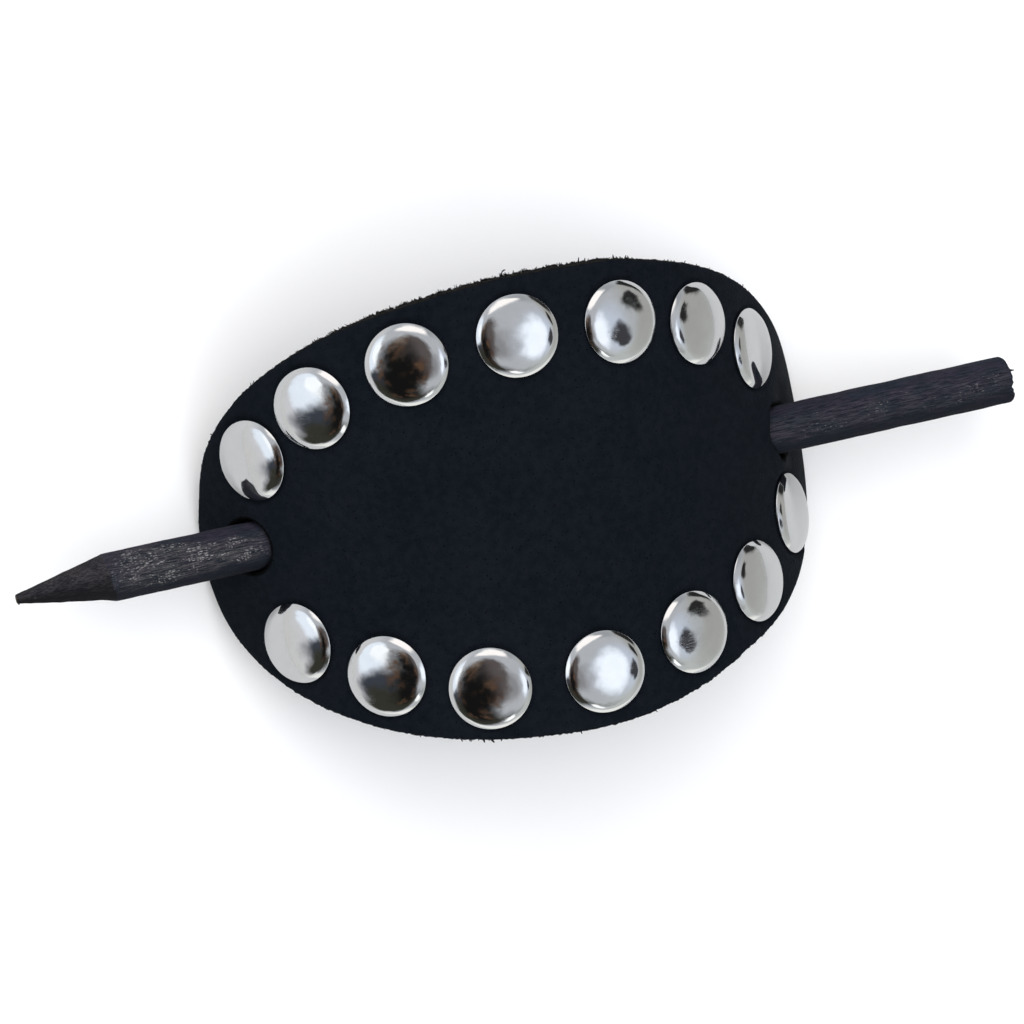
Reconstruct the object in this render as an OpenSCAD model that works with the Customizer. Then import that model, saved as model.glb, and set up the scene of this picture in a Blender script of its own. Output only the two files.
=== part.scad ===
// Stick barrette: an oval of stiff leather, bowed into an arch, with domed rivets round its edge
// and a round wooden stick pushed through a hole near each end.
// X runs along the stick with its point at -X, Y across the leather, and Z up from the surface
// that the two ends of the leather stand on. The origin is below the middle of the stick.

/* [Leather] */
// Length of the oval before it is bowed, in mm
leather_l = 109.2; // [104:0.2:114]
// Width of the oval
leather_w = 60.6; // [58:0.2:66]
// Thickness of the leather
leather_t = 2.8; // [2.2:0.1:3]
// Radius of the outer face where the leather is bowed
bend_r = 46; // [45:0.5:50]
// Height by which the two ends are flattened where they stand
end_flat = 0.5; // [0.3:0.1:1.5]
// Diameter of the two holes for the stick, cut along the stick
stick_hole_d = 7.2; // [7:0.1:8]

/* [Stick] */
// Diameter of the stick
stick_d = 6.5; // [5.5:0.1:6.6]
// Length of the stick
stick_l = 140.4; // [130:0.2:160]
// Length of the sharpened point
point_l = 13.7; // [8:0.1:20]
// Diameter of the small flat at the tip of the point
point_flat_d = 1; // [0.6:0.1:2]
// Width of the worn edge round the blunt end
end_wear = 0.5; // [0.2:0.1:1]
// Height of the stick's middle line above what the ends of the leather stand on
stick_z = 9.6; // [8.5:0.1:11]
// Distance that the stick is slid to the right of the leather's middle
stick_slid = 0.7; // [-5:0.1:5]

/* [Rivets] */
// Diameter of a rivet's cap
cap_d = 11; // [9:0.1:11.4]
// Height of the cap's low dome above its rim
dome_h = 1; // [0.8:0.1:1.6]
// Height of the cap's rim
rim_h = 0.5; // [0.4:0.1:0.8]
// Width of the cap's rim
rim_w = 0.6; // [0.5:0.1:1]
// Thickness of the cap's sheet metal
cap_sheet = 0.3; // [0.2:0.05:0.4]
// Depth that a cap is pressed into the leather
cap_bite = 0.4; // [0.38:0.01:0.5]
// Diameter of a rivet's post
post_d = 3; // [2.4:0.1:3.6]
// Diameter of the flange under the leather
flange_d = 9; // [7:0.1:9.4]
// Thickness of the flange
flange_t = 0.5; // [0.5:0.1:0.8]
// Depth that a flange is pressed into the leather
flange_bite = 0.05; // [0.03:0.01:0.2]

/* [Hidden] */
// Each rivet: its name, its place along the flat leather and its place across it, in mm.
// They are set by hand, so neither row is quite even. Row u is the upper one and row l the lower.
RIVETS = [
    ["u1", -40.4, 11.6],
    ["u2", -29.4, 17.7],
    ["u3", -15.5, 21.5],
    ["u4", -0.6, 22.5],
    ["u5", 14.1, 21.2],
    ["u6", 27.2, 18.1],
    ["u7", 39.1, 12.2],
    ["l1", -38.7, -13.4],
    ["l2", -26.1, -18.9],
    ["l3", -12.6, -22.5],
    ["l4", 2.8, -23.4],
    ["l5", 16.8, -21.5],
    ["l6", 30.1, -17.9],
    ["l7", 42.4, -11.4]
];
RIVET_NAME = 0;
RIVET_ALONG = 1;
RIVET_ACROSS = 2;

// Names of the separate pieces

$fn = 72;

// Room that a cutting shape has past the solid that it cuts
spare = 1;
// Play between two metal pieces, or between metal and the hole it passes
play = 0.05;
// Steps round the oval's cut edge
edge_steps = 72;
// Steps up a cap's dome, from its rim to its middle
dome_steps = 12;
// Room between the top of a post and the inside of the dome above it
post_gap = 0.3;

// The line about which the leather is bowed, so that its flattened ends stand at z = 0
inner_r = bend_r - leather_t;
bend_x = -stick_slid;
bend_z = -inner_r * cos(bend_angle(leather_l / 2)) - end_flat;
// Heights of a rivet's parts, measured out from that line
cap_seat_r = bend_r - cap_bite;
flange_seat_r = inner_r + flange_bite;
dome_inside_r = cap_seat_r + rim_h + dome_h - cap_sheet;
post_top_r = dome_inside_r - post_gap;
// Radii of a cap's dome where it meets the rim, outside and inside
dome_base_r = cap_d / 2 - rim_w / 2;
dome_bore_r = cap_d / 2 - rim_w;
socket_bore_d = post_d + 2 * play;
socket_d = socket_bore_d + 2 * cap_sheet;

// Turns a length along the bowed outer face into the angle it subtends
function bend_angle(along) = along / bend_r * 180 / PI;

// A point of the bowed leather: along and across the flat oval, at radius r from the bend line
function bowed(along, across, r) = [
    bend_x + r * sin(bend_angle(along)),
    across,
    bend_z + r * cos(bend_angle(along))
];

// A point of the oval's edge at step k, at radius r
function edge_point(k, r) = bowed(
    leather_l / 2 * cos(360 * k / edge_steps),
    leather_w / 2 * sin(360 * k / edge_steps),
    r
);

// The points of half of a low dome's section, from its foot of radius r up to its middle at height h
function dome_curve(r, h) = [
    for (k = [0 : dome_steps])
        let (climb = 90 * k / dome_steps)
            [r * cos(climb), rim_h + h * sin(climb)]
];

// The same points in the other order, from the middle down to the foot
function turned(points) = [for (k = [len(points) - 1 : -1 : 0]) points[k]];

// Puts a rivet's part on the leather, with its middle line standing square to the leather
module at_rivet(rivet) {
    translate([bend_x, rivet[RIVET_ACROSS], bend_z])
        rotate([0, bend_angle(rivet[RIVET_ALONG]), 0])
            children();
}

// The oval with its cut edge square to the bowed faces, thicker than the leather on both sides
module oval_edge() {
    low_r = inner_r - 2 * spare;
    high_r = bend_r + 2 * spare;
    n = edge_steps;
    half = n / 2;
    // The low ring has the points 0 to n - 1 and the high ring n to 2 n - 1
    points = concat(
        [for (k = [0 : n - 1]) edge_point(k, low_r)],
        [for (k = [0 : n - 1]) edge_point(k, high_r)]
    );
    walls = [
        for (k = [0 : n - 1])
            let (next = (k + 1) % n)
                each [[k, n + k, next], [next, n + k, n + next]]
    ];
    // Each strip of the two broad faces joins the points that lie across from each other
    low_face = concat(
        [[0, 1, n - 1]],
        [for (k = [1 : half - 2]) [k, k + 1, n - k - 1, n - k]],
        [[half - 1, half, half + 1]]
    );
    high_face = [
        for (face = low_face)
            [for (i = [len(face) - 1 : -1 : 0]) n + face[i]]
    ];
    polyhedron(points = points, faces = concat(walls, low_face, high_face), convexity = 4);
}

// The arch of leather before the oval is cut from it
module bowed_sheet() {
    translate([bend_x, 0, bend_z])
        rotate([90, 0, 0])
            difference() {
                cylinder(r = bend_r, h = leather_w + 4 * spare, center = true);
                cylinder(r = inner_r, h = leather_w + 6 * spare, center = true);
            }
}

// The hole for a rivet's post with the shallow seats that its cap and flange press into the leather
module rivet_seat() {
    translate([0, 0, inner_r - spare])
        cylinder(d = post_d + 2 * play, h = leather_t + 2 * spare);
    translate([0, 0, cap_seat_r])
        cylinder(d = cap_d + 2 * play, h = cap_bite + spare);
    translate([0, 0, inner_r - spare])
        cylinder(d = flange_d + 2 * play, h = flange_bite + spare);
}

module leather_panel() {
    color("#141a22")
        difference() {
            intersection() {
                bowed_sheet();
                oval_edge();
            }
            // The two ends are flattened where they stand
            translate([0, 0, -5 * spare])
                cube([leather_l, leather_w, 10 * spare], center = true);
            translate([bend_x, 0, stick_z])
                rotate([0, 90, 0])
                    cylinder(d = stick_hole_d, h = leather_l, center = true);
            for (rivet = RIVETS)
                at_rivet(rivet)
                    rivet_seat();
        }
}

module hair_stick() {
    color("#2b2830")
        translate([-stick_l / 2, 0, stick_z])
            rotate([0, 90, 0])
                union() {
                    cylinder(d1 = point_flat_d, d2 = stick_d, h = point_l);
                    translate([0, 0, point_l])
                        cylinder(d = stick_d, h = stick_l - point_l - end_wear);
                    translate([0, 0, stick_l - end_wear])
                        cylinder(d1 = stick_d, d2 = stick_d - 2 * end_wear, h = end_wear);
                }
}

// A cap's thin dome with its rolled rim, open below; the rim's outer corners are eased
module cap_shell() {
    rim_ease = rim_h / 3;
    rim_r = cap_d / 2;
    rim_curve = [
        [dome_bore_r, 0],
        [rim_r - rim_ease, 0],
        [rim_r, rim_ease],
        [rim_r, rim_h - rim_ease],
        [rim_r - rim_ease, rim_h]
    ];
    outside = dome_curve(dome_base_r, dome_h);
    inside = turned(dome_curve(dome_bore_r, dome_h - cap_sheet));
    translate([0, 0, cap_seat_r])
        rotate_extrude()
            polygon(concat(rim_curve, outside, inside));
}

// The tube inside the cap that grips the post
module cap_socket() {
    translate([0, 0, cap_seat_r])
        difference() {
            cylinder(d = socket_d, h = dome_inside_r - cap_seat_r);
            translate([0, 0, -spare])
                cylinder(d = socket_bore_d, h = post_top_r - cap_seat_r + play + spare);
        }
}

module stud_cap(rivet) {
    color("#d9dbdf")
        at_rivet(rivet)
            union() {
                cap_shell();
                cap_socket();
            }
}

// The flange under the leather and the post that stands up from it into the cap
module rivet_back(rivet) {
    flange_ease = flange_t / 2;
    color("#b9bbc0")
        at_rivet(rivet)
            union() {
                translate([0, 0, flange_seat_r - flange_t])
                    cylinder(d1 = flange_d - 2 * flange_ease, d2 = flange_d, h = flange_ease);
                translate([0, 0, flange_seat_r - flange_ease])
                    cylinder(d = flange_d, h = flange_ease);
                translate([0, 0, flange_seat_r - flange_ease])
                    cylinder(d = post_d, h = post_top_r - flange_seat_r + flange_ease);
            }
}

leather_panel();
hair_stick();
for (rivet = RIVETS) {
    stud_cap(rivet);
    rivet_back(rivet);
}
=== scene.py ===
"""Looks of the stick barrette: its bowed leather, its rivets, its stained stick and a plain studio."""

import math
import random

import bmesh
import bpy
from bpy.props import FloatProperty, FloatVectorProperty, IntProperty, PointerProperty
from mathutils import Matrix, Vector, noise
from mathutils.geometry import delaunay_2d_cdt


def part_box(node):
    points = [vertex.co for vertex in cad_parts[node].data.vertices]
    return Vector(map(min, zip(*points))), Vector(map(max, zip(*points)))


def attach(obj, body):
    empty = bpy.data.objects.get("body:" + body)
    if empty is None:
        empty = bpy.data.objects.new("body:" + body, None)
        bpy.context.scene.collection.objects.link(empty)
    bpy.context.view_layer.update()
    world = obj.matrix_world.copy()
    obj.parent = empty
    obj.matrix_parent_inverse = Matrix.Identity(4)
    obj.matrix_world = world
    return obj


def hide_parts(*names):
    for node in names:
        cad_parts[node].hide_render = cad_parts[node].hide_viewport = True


bl_info = {
    "name": "Stick Barrette",
    "version": (1, 0, 0),
    "blender": (4, 5, 0),
    "location": "3D View > Sidebar > Barrette",
    "description": "Makes the leather, the rivets and the stick of a barrette round its packed model",
    "category": "Object",
}

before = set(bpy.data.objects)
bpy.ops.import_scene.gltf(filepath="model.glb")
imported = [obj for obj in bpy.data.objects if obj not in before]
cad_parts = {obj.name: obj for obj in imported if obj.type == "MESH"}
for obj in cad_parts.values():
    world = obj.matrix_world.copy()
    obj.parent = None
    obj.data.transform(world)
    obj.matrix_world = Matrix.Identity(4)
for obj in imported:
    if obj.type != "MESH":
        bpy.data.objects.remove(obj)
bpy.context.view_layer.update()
MM = 0.001
FULL_TURN = 2 * math.pi
CAP_PREFIX = "stud_cap_"
BACK_PREFIX = "rivet_back_"
# Play between a rivet's post and what it stands in
PLAY = 0.05 * MM
RIVET_NAMES = sorted(name[len(CAP_PREFIX):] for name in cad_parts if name.startswith(CAP_PREFIX))
# What all lengths and what all colours in the settings share
LENGTH = {"unit": "LENGTH", "precision": 6, "min": 0}
COLOUR = {"subtype": "COLOR", "min": 0, "max": 1}


class LeatherSettings(bpy.types.PropertyGroup):
    """Sizes and colours of the bowed leather."""

    bend_radius: FloatProperty(
        name="Bend Radius", description="Radius of the outer face where the leather is bowed",
        default=0.046, **LENGTH)
    thickness: FloatProperty(
        name="Thickness", description="Thickness of the leather", default=0.0028, **LENGTH)
    hole_width: FloatProperty(
        name="Hole Width", description="Width of the two holes that the stick passes through",
        default=0.0072, **LENGTH)
    mesh_step: FloatProperty(
        name="Mesh Step", description="Distance between the points of the leather's mesh",
        default=0.00052, **LENGTH)
    grain_colour: FloatVectorProperty(
        name="Grain Colour", description="Colour of the dyed outer face", default=(0.0034, 0.0054, 0.0080),
        **COLOUR)
    grain_tint: FloatVectorProperty(
        name="Grain Tint", description="Second colour that clouds the outer face",
        default=(0.0066, 0.0085, 0.0119), **COLOUR)
    cut_colour: FloatVectorProperty(
        name="Cut Colour", description="Colour of the cut edges",
        default=(0.0065, 0.0062, 0.0048), **COLOUR)
    flesh_colour: FloatVectorProperty(
        name="Flesh Colour", description="Colour of the rough inner face", default=(0.0200, 0.0205, 0.0230),
        **COLOUR)
    fibres: IntProperty(
        name="Fibres", description="Number of short fibres that stand out of the cut edge", default=1100,
        min=0)


class StickSettings(bpy.types.PropertyGroup):
    """Sizes and colours of the wooden stick."""

    point_length: FloatProperty(
        name="Point Length", description="Length of the sharpened point", default=0.01265,
        **LENGTH)
    tip_width: FloatProperty(
        name="Tip Width", description="Width of the small flat at the tip", default=0.00122,
        **LENGTH)
    tip_wear: FloatProperty(
        name="Tip Wear", description="How much of the tip has worn off", default=0.00035, **LENGTH)
    groove_depth: FloatProperty(
        name="Groove Depth", description="Depth of the open grain along the stick", default=0.0001,
        **LENGTH)
    stain_colour: FloatVectorProperty(
        name="Stain Colour", description="Colour of the black stain", default=(0.0180, 0.0235, 0.0345),
        **COLOUR)
    stain_tint: FloatVectorProperty(
        name="Stain Tint", description="Purple colour that clouds the stain",
        default=(0.0310, 0.0265, 0.0420), **COLOUR)
    cut_tint: FloatVectorProperty(
        name="Cut Tint", description="Colour that clouds the stain on the sharpened point",
        default=(0.0400, 0.0365, 0.0405), **COLOUR)
    cut_colour: FloatVectorProperty(
        name="Cut Colour", description="Colour of the stain on the sharpened point",
        default=(0.0170, 0.0172, 0.0212), **COLOUR)
    dry_colour: FloatVectorProperty(
        name="Dry Colour", description="Colour of the streaks that are rubbed dry",
        default=(0.0780, 0.0730, 0.0730), **COLOUR)
    worn_colour: FloatVectorProperty(
        name="Worn Colour", description="Colour of the short fibres that are rubbed pale",
        default=(0.2900, 0.2820, 0.2820), **COLOUR)
    bare_colour: FloatVectorProperty(
        name="Bare Colour", description="Colour of the bare wood at the tip",
        default=(0.0700, 0.0520, 0.0200), **COLOUR)


class RivetSettings(bpy.types.PropertyGroup):
    """Sizes and colours of the rivets."""

    cap_width: FloatProperty(
        name="Cap Width", description="Diameter of a cap", default=0.011, **LENGTH)
    dome_height: FloatProperty(
        name="Dome Height", description="Height of a cap's dome above its rim", default=0.001,
        **LENGTH)
    rim_height: FloatProperty(
        name="Rim Height", description="Height of the rolled rim", default=0.0005, **LENGTH)
    rim_width: FloatProperty(
        name="Rim Width", description="Width of the rolled rim", default=0.0006, **LENGTH)
    sheet: FloatProperty(
        name="Sheet", description="Thickness of a cap's sheet metal", default=0.0003, **LENGTH)
    cap_bite: FloatProperty(
        name="Cap Bite", description="Depth that a cap is pressed into the leather", default=0.0004,
        **LENGTH)
    post_width: FloatProperty(
        name="Post Width", description="Diameter of the post", default=0.003, **LENGTH)
    flange_width: FloatProperty(
        name="Flange Width", description="Diameter of the flange under the leather",
        default=0.009, **LENGTH)
    flange_thickness: FloatProperty(
        name="Flange Thickness", description="Thickness of the flange", default=0.0005, **LENGTH)
    flange_bite: FloatProperty(
        name="Flange Bite", description="Depth that a flange is pressed into the leather",
        default=0.00005, **LENGTH)
    dome_waver: FloatProperty(
        name="Dome Waver", description="Height of the soft unevenness of a pressed dome",
        default=0.000007, **LENGTH)
    plate_colour: FloatVectorProperty(
        name="Plate Colour", description="Colour of the bright plate", default=(0.549, 0.556, 0.554),
        **COLOUR)
    back_colour: FloatVectorProperty(
        name="Back Colour", description="Colour of the plain plate under the leather",
        default=(0.520, 0.515, 0.500), **COLOUR)


class StudioSettings(bpy.types.PropertyGroup):
    """The camera, the floor and the light."""

    camera_place: FloatVectorProperty(
        name="Camera Place", description="Where the camera stands",
        subtype="XYZ", unit="LENGTH", default=(-0.13345, 0.09614, 0.62472), precision=5)
    camera_view: FloatVectorProperty(
        name="Camera View", description="Direction that the camera looks in",
        subtype="XYZ", default=(0.2063, -0.1559, -0.9660), precision=4)
    camera_up: FloatVectorProperty(
        name="Camera Up", description="Direction that is up in the picture",
        subtype="XYZ", default=(0.2123, 0.9708, -0.1113), precision=4)
    camera_lens: FloatProperty(
        name="Lens", description="Focal length for a 36 mm sensor, in mm", default=166.32, min=20)
    floor_size: FloatProperty(
        name="Floor Size", description="Width of the floor", default=1.6, min=0.5, unit="LENGTH")
    floor_colour: FloatVectorProperty(
        name="Floor Colour", description="Colour of the floor",
        subtype="COLOR", default=(0.96, 0.96, 0.955), min=0, max=1)
    room_colour: FloatVectorProperty(
        name="Room Colour", description="Light that comes from all round",
        subtype="COLOR", default=(0.648, 0.669, 0.714), min=0, max=4)
    room_strength: FloatProperty(
        name="Room Strength", description="Strength of the room's light", default=1.16, min=0)


def smooth_step(value, low, high):
    """Goes smoothly from 0 at low to 1 at high."""
    t = min(max((value - low) / (high - low), 0.0), 1.0)
    return t * t * (3.0 - 2.0 * t)


def mix(a, b, share):
    return a + (b - a) * share


def waver(place, size, seed):
    """Soft noise from about -1 to 1, with swells about size across."""
    return noise.noise(Vector(place) / size + Vector((0, 0, seed)))


def bell(off, spread):
    """1 where off is 0, and falling away smoothly to both sides."""
    return math.exp(-(off / spread) ** 2)


def around(turn):
    """The side and the front of a circle of radius 1 at turn, from 0 to 1."""
    return math.cos(turn * FULL_TURN), math.sin(turn * FULL_TURN)


def circle(steps, radius):
    """The side and the front of points all round a circle."""
    angles = [FULL_TURN * k / steps for k in range(steps)]
    return [(radius * math.cos(angle), radius * math.sin(angle)) for angle in angles]


class Bow:
    """The arch that the flat leather is bent into. A place on the leather is along it and across it."""

    # Where the hand-cut outline wanders from the oval: at which turn, over how much of one, how far out in mm
    WANDER = (
        (0.055, 0.030, 0.60), (0.205, 0.015, 0.28), (0.285, 0.020, -0.10), (0.467, 0.024, -0.58),
        (0.556, 0.030, 0.42), (0.645, 0.030, -0.16), (0.765, 0.030, 0.46), (0.828, 0.022, -0.48))
    ROUGH = 0.04 * MM

    def __init__(self, leather):
        low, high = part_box("leather_panel")
        self.outer = leather.bend_radius
        self.inner = leather.bend_radius - leather.thickness
        self.x = (low.x + high.x) / 2
        self.z = high.z - self.outer
        self.half_length = self.outer * math.asin((high.x - self.x) / self.outer)
        self.half_width = high.y

    def point(self, along, across, radius):
        """The place on the bowed leather, at radius from the bend line and never below the floor."""
        angle = along / self.outer
        height = self.z + radius * math.cos(angle)
        return Vector((self.x + radius * math.sin(angle), across, max(height, 0.0)))

    def oval(self, turn, inset):
        """The point of the flat oval at turn, from 0 to 1, moved in by inset."""
        side, front = around(turn)
        normal = Vector((side / self.half_length, front / self.half_width)).normalized()
        return Vector((self.half_length * side, self.half_width * front)) - inset * normal

    def cut(self, turn, inset):
        """The point of the hand-cut outline at turn, moved in by inset."""
        place = self.oval(turn, 0)
        out = self.ROUGH * waver((place.x, place.y, 0), 3 * MM, 11)
        for middle, spread, reach in self.WANDER:
            out += reach * MM * bell(turn - middle, spread)
        return self.oval(turn, inset - out)

    def along_at(self, x, z):
        """How far along the flat leather the point at x and z lies."""
        return self.outer * math.atan2(x - self.x, z - self.z)


class Rivet:
    """One rivet: its middle line stands square to the bowed leather."""

    def __init__(self, name, bow):
        self.name = name
        self.bow = bow
        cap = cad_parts[CAP_PREFIX + name]
        top = max((v.co for v in cap.data.vertices), key=lambda co: math.hypot(co.x - bow.x, co.z - bow.z))
        self.along = bow.along_at(top.x, top.z)
        self.across = top.y
        self.angle = self.along / bow.outer
        self.up = Vector((math.sin(self.angle), 0, math.cos(self.angle)))
        self.side = Vector((math.cos(self.angle), 0, -math.sin(self.angle)))

    def point(self, side, front, radius):
        """A point beside the middle line, at radius from the bend line along it."""
        start = Vector((self.bow.x, self.across + front, self.bow.z))
        return start + radius * self.up + side * self.side

    def distance(self, along, across):
        """How far a place on the leather is from the middle line."""
        side = self.bow.outer * math.sin((along - self.along) / self.bow.outer)
        return math.hypot(side, across - self.across)

    def level(self, along, radius):
        """The radius, at a place along the leather, of the flat seat that is at radius on the middle line."""
        return radius / math.cos((along - self.along) / self.bow.outer)


class StickHole:
    """One of the two holes for the stick, cut along the stick through the bowed leather."""

    # How closely the leather grips the sides of the stick, and how ragged its lip is
    GRIP = 0.20 * MM
    RAGGED = 0.06 * MM
    # Where the round punched hole stands off the stick, or grips it closer: at which turn round it, over
    # how much of a turn, and how far
    GAPS_LEFT = ((0.065, 0.090, 0.46 * MM), (0.25, 0.080, -0.15 * MM), (0.415, 0.080, 0.23 * MM))
    GAPS_RIGHT = ((0.100, 0.048, 0.95 * MM), (0.25, 0.080, 0.12 * MM), (0.430, 0.040, 0.70 * MM))

    def __init__(self, bow, end, width, height):
        self.bow = bow
        self.end = end
        self.half_width = width / 2
        self.height = height
        self.middle = (self.edge(0.25, bow.outer) + self.edge(0.75, bow.outer)) / 2

    def opening(self, turn):
        """Half of the hole's width at turn, from 0 to 1."""
        side, front = around(turn)
        gap = 0.0
        for middle, spread, depth in self.GAPS_RIGHT if self.end > 0 else self.GAPS_LEFT:
            away = (turn - middle + 0.5) % 1.0 - 0.5
            gap += depth * bell(away, spread)
        ragged = self.RAGGED * waver((side, front, self.end), 0.3, 3)
        return self.half_width - self.GRIP * side * side + gap + max(ragged, 0)

    def edge(self, turn, radius, grow=0.0):
        """The point of the hole's edge at turn on the flat leather, for the face at radius."""
        side, front = around(turn)
        reach = self.opening(turn) + grow
        drop = self.height + reach * front - self.bow.z
        return Vector((self.end * self.bow.outer * math.acos(drop / radius), reach * side))

    def distance(self, along, across):
        """About how far a place on the leather lies outside the hole's edge."""
        if along * self.end < 0:
            return self.bow.half_length
        rise = self.bow.z + self.bow.outer * math.cos(along / self.bow.outer) - self.height
        turn = math.atan2(rise, across) / FULL_TURN % 1.0
        return math.hypot(across, rise) - self.opening(turn)


class LeatherFace:
    """One face of the bowed leather as a radius from the bend line, with what presses and lifts it."""

    SWELL = 0.10 * MM
    RIPPLE = 0.025 * MM
    # How far the stick lifts the leather on the hole's inner side and dents it on the outer side, and how
    # far from the hole
    LIFT = 0.42 * MM
    DENT = 0.30 * MM
    LIFT_REACH = 2.6 * MM
    LIFT_BLEND = 3 * MM
    # Play round a cap or a flange in its seat, and under it
    SEAT_ROOM = 0.06 * MM
    CLEAR = 0.015 * MM

    def __init__(self, bow, rivets, holes, side, width, bite, shoulder):
        """side is 1 for the inner face and -1 for the outer one. width is that of the rivets' caps or
        flanges, bite is how deep they are pressed in, and shoulder is how wide they bend the leather."""
        self.bow = bow
        self.rivets = rivets
        self.holes = holes
        self.side = side
        self.radius = bow.outer if side < 0 else bow.inner
        self.seat = self.radius + side * bite
        self.reach = width / 2 + self.SEAT_ROOM
        self.shoulder = shoulder

    def lift(self, along, across):
        """How far the stick bends the leather outward round its holes."""
        total = 0.0
        for hole in self.holes:
            away = hole.distance(along, across)
            if away < 4 * self.LIFT_REACH:
                middle = abs(hole.middle.x)
                outer_side = smooth_step(abs(along), middle - self.LIFT_BLEND, middle + self.LIFT_BLEND)
                total += mix(self.LIFT, -self.DENT, outer_side) * bell(max(away, 0), self.LIFT_REACH)
        return total

    def radius_at(self, along, across):
        """The face's radius at a place, after the nearest rivet has pressed its flat seat."""
        place = (along, across, 0)
        uneven = self.SWELL * waver(place, 17 * MM, 1.5) + self.RIPPLE * waver(place, 4.5 * MM, 7.5)
        radius = self.radius + uneven + self.lift(along, across)
        for rivet in self.rivets:
            away = rivet.distance(along, across)
            if away < self.reach + self.shoulder:
                share = 1 - smooth_step(away, self.reach, self.reach + self.shoulder)
                radius = mix(radius, rivet.level(along, self.seat) + self.side * self.CLEAR, share)
        return radius


class MeshMaker:
    """Collects points and faces for one piece."""

    def __init__(self):
        self.points = []
        self.faces = []
        self.finishes = []

    def add_points(self, points):
        """Adds the points and returns their places in the mesh."""
        start = len(self.points)
        self.points.extend(points)
        return list(range(start, len(self.points)))

    def add_face(self, corners, finish=0):
        self.faces.append(corners)
        self.finishes.append(finish)

    def join_rings(self, upper, lower, finish=0):
        """Joins two closed rings of as many points with four-sided faces."""
        for k in range(len(upper)):
            after = (k + 1) % len(upper)
            self.add_face((upper[k], lower[k], lower[after], upper[after]), finish)

    def grow(self, last, ring, finish=0):
        """Adds a ring of points, joins it to the last ring and returns its places."""
        added = self.add_points(ring)
        self.join_rings(last, added, finish)
        return added

    def close_ring(self, ring, middle, finish=0):
        """Closes a ring with triangles that meet at the point middle."""
        for k in range(len(ring)):
            self.add_face((ring[k], ring[(k + 1) % len(ring)], middle), finish)

    def make(self, name, materials):
        """Makes the piece, with its faces turned outward and shaded smooth."""
        mesh = bpy.data.meshes.new(name)
        mesh.from_pydata(self.points, [], self.faces)
        for material in materials:
            mesh.materials.append(material)
        mesh.polygons.foreach_set("material_index", self.finishes)
        mesh.polygons.foreach_set("use_smooth", [True] * len(self.faces))
        if mesh.validate():
            raise RuntimeError(f"{name} has faces that cannot be shown")
        shell = bmesh.new()
        shell.from_mesh(mesh)
        bmesh.ops.recalc_face_normals(shell, faces=shell.faces)
        shell.to_mesh(mesh)
        shell.free()
        piece = bpy.data.objects.new(name, mesh)
        bpy.context.scene.collection.objects.link(piece)
        return piece


def turns_left(ring):
    """Whether a flat ring runs counterclockwise."""
    return sum(a.cross(b) for a, b in zip(ring, ring[1:] + ring[:1])) > 0


def fill_sheet(outline, holes, free_points):
    """Fills a flat outline round its holes with triangles.
    Returns the flat points, the triangles, and the places of the outline's and each hole's points."""
    points = []
    rings = []
    for ring in (outline, *holes):
        rings.append(list(range(len(points), len(points) + len(ring))))
        points.extend(ring)
    points.extend(free_points)
    leftward = [ring if turns_left([points[k] for k in ring]) else ring[::-1] for ring in rings]
    places, _, triangles, sources, _, owners = delaunay_2d_cdt(points, [], leftward, 1, 1e-7)
    found = {source: place for place, group in enumerate(sources) for source in group}
    kept = [triangle for triangle, owner in zip(triangles, owners) if list(owner) == [0]]
    if not kept:
        raise RuntimeError("the leather's outline could not be filled")
    return places, kept, [[found[k] for k in ring] for ring in rings]


class Nodes:
    """Adds nodes to a node tree. A value may be a number, a colour or another node's output."""

    def __init__(self, tree):
        self.tree = tree

    def add(self, kind, values=None, **settings):
        node = self.tree.nodes.new("ShaderNode" + kind)
        for setting, value in settings.items():
            setattr(node, setting, value)
        for socket, value in (values or {}).items():
            self.put(node.inputs[socket], value)
        return node

    def put(self, socket, value):
        if isinstance(value, bpy.types.NodeSocket):
            self.tree.links.new(value, socket)
        else:
            socket.default_value = value

    def blend(self, share, low, high):
        """A colour between low and high."""
        node = self.add("Mix", {0: share}, data_type="RGBA")
        for place, value in ((6, low), (7, high)):
            self.put(node.inputs[place], value if isinstance(value, bpy.types.NodeSocket) else (*value, 1.0))
        return node.outputs[2]

    def span(self, value, low, high, to_low=0.0, to_high=1.0):
        """Maps a value from low and high to to_low and to_high, smoothly and held there."""
        values = {"Value": value, "From Min": low, "From Max": high, "To Min": to_low, "To Max": to_high}
        return self.add("MapRange", values, interpolation_type="SMOOTHSTEP").outputs["Result"]

    def math(self, operation, first, second):
        return self.add("Math", {0: first, 1: second}, operation=operation).outputs[0]

    def product(self, first, *others):
        for other in others:
            first = self.math("MULTIPLY", first, other)
        return first

    def stretched(self, place, scale):
        return self.add("Mapping", {"Vector": place, "Scale": scale}).outputs["Vector"]

    def noise(self, place, scale, detail, roughness=0.5, distortion=0.0):
        values = {"Scale": scale, "Detail": detail, "Roughness": roughness, "Distortion": distortion}
        return self.add("TexNoise", {"Vector": place, **values}).outputs["Fac"]

    def cells(self, place, scale, feature="F1"):
        return self.add("TexVoronoi", {"Vector": place, "Scale": scale}, feature=feature).outputs["Distance"]

    def group(self, name, place, **values):
        """Places an effect with its own values and returns its outputs."""
        node = self.add("Group", node_tree=bpy.data.node_groups[name])
        for socket, value in {"Place": place, **values}.items():
            self.put(node.inputs[socket], value)
        return node.outputs

    def clouds(self, place, scale, low=0.35, high=0.65):
        return self.group("Clouds", place, Scale=scale, Low=low, High=high)["Mask"]


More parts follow.
